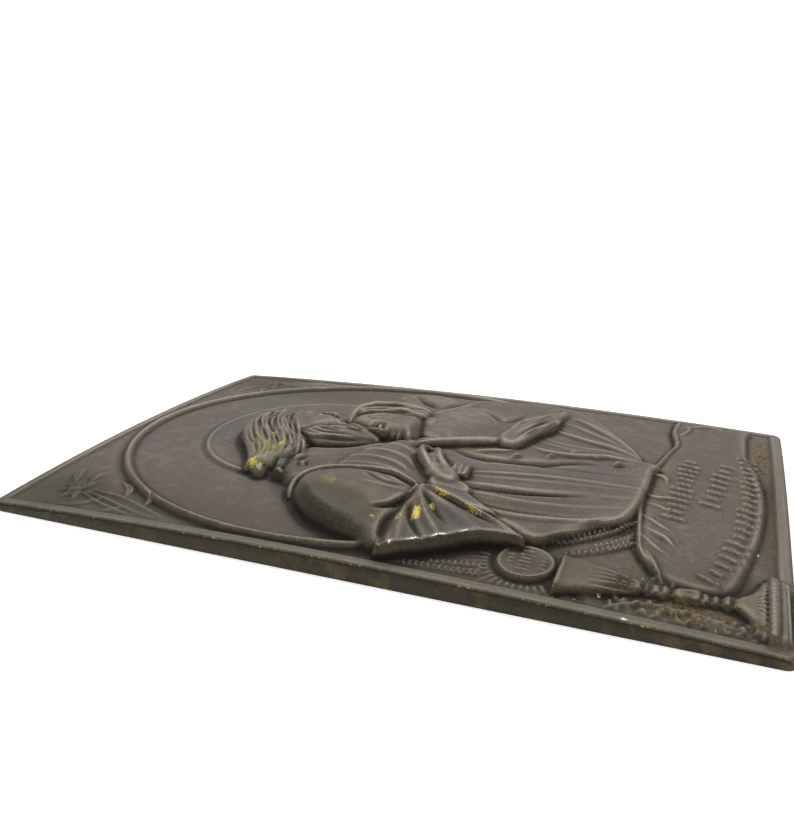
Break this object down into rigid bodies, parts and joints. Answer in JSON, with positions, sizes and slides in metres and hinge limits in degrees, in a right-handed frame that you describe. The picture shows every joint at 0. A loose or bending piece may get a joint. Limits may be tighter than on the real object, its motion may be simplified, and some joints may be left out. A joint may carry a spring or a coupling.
{
  "type": "relief plaque",
  "caption": "Cast bronze wall plaque with a raised rim, an oval bead frame and a low relief of a bending robed figure and a kneeling child, chalice and banner",
  "frame": {"origin": "centre of the flat back face", "axes": "+X to the plaque's right, +Y to its top, +Z out of the relief face; the plaque lies face up"},
  "size_m": [0.075, 0.11, 0.0075],
  "materials": {
    "bronze": "dark brown patina, rubbed brassy on the high points"
  },
  "bodies": {
    "root": {"plaque": "bronze"}
  },
  "joints": []
}
